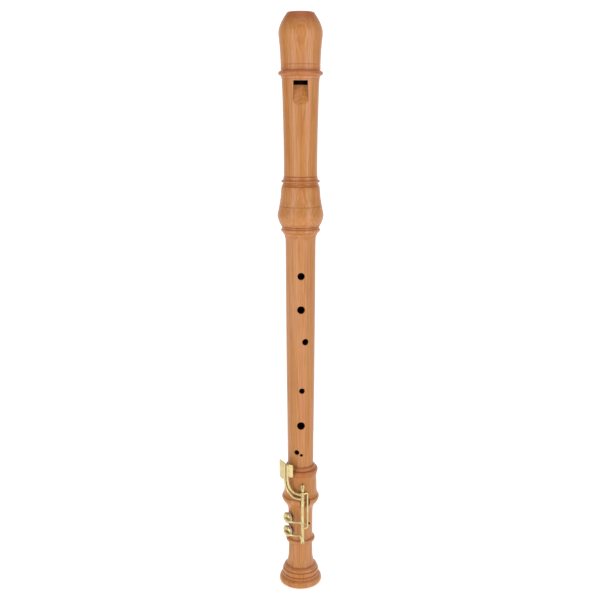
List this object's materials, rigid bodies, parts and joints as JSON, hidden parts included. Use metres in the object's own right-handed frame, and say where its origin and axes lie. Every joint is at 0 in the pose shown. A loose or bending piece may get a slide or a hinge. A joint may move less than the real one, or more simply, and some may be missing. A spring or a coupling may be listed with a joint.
{
  "type": "tenor recorder",
  "caption": "three-joint wooden tenor recorder with a turned head, carved window and beak, finger holes, a bell foot and a brass double key for the little finger",
  "frame": {"origin": "centre of the flat face of the bell, where the instrument stands, on the bore's axis", "axes": "+Z along the bore from the bell to the beak, -Y the front with the window and finger holes, +X to the left of the player"},
  "size_m": [0.0494, 0.0494, 0.64],
  "materials": {
    "wood": "oiled pearwood with a satin polish and fine vertical grain",
    "cedar": "bare cedar",
    "cork": "bare cork",
    "brass": "polished and lacquered pale brass",
    "steel": "plain steel rod and springs",
    "pad_leather": "cream leather key pad",
    "felt": "dark green felt"
  },
  "bodies": {
    "foot": {"foot_joint": "wood", "upper_post": "brass", "lower_post": "brass", "hinge_rod": "steel", "low_c_sharp_stop_cork": "cork", "low_c_bumper_felt": "felt"},
    "low_c_sharp_key": {"low_c_sharp_touch": "brass", "low_c_sharp_arm": "brass", "low_c_sharp_tube": "brass", "low_c_sharp_pad_arm": "brass", "low_c_sharp_cup": "brass", "low_c_sharp_pad": "pad_leather", "low_c_sharp_spring": "steel"},
    "low_c_key": {"low_c_touch": "brass", "low_c_arm": "brass", "low_c_upper_tube": "brass", "low_c_side_bar": "brass", "low_c_lower_tube": "brass", "low_c_pad_arm": "brass", "low_c_cup": "brass", "low_c_pad": "pad_leather", "low_c_spring": "steel"},
    "lower_cork": {"lower_tenon_cork": "cork"},
    "middle": {"middle_joint": "wood"},
    "upper_cork": {"upper_tenon_cork": "cork"},
    "head": {"head_joint": "wood", "block": "cedar"}
  },
  "joints": [
    {"name": "low_c_sharp_press", "type": "hinge", "parent": "foot", "child": "low_c_sharp_key", "pos_m": [0.00225, -0.02138, 0.098], "axis": [0, 0, -1], "range_deg": [0, 7], "stiffness_Nm_per_rad": 0.02, "springref_deg": -11.46},
    {"name": "low_c_press", "type": "hinge", "parent": "foot", "child": "low_c_key", "pos_m": [0.00225, -0.02138, 0.098], "axis": [0, 0, -1], "range_deg": [0, 7], "stiffness_Nm_per_rad": 0.02, "springref_deg": -11.46},
    {"name": "middle_pull", "type": "slide", "parent": "foot", "child": "lower_cork", "axis": [0, 0, 1], "range_m": [0, 0.03]},
    {"name": "middle_turn", "type": "hinge", "parent": "lower_cork", "child": "middle", "pos_m": [0, 0, 0.134], "axis": [0, 0, 1], "continuous": true},
    {"name": "head_turn", "type": "hinge", "parent": "middle", "child": "upper_cork", "pos_m": [0, 0, 0.456], "axis": [0, 0, 1], "continuous": true},
    {"name": "head_pull", "type": "slide", "parent": "upper_cork", "child": "head", "axis": [0, 0, 1], "range_m": [0, 0.03]}
  ]
}
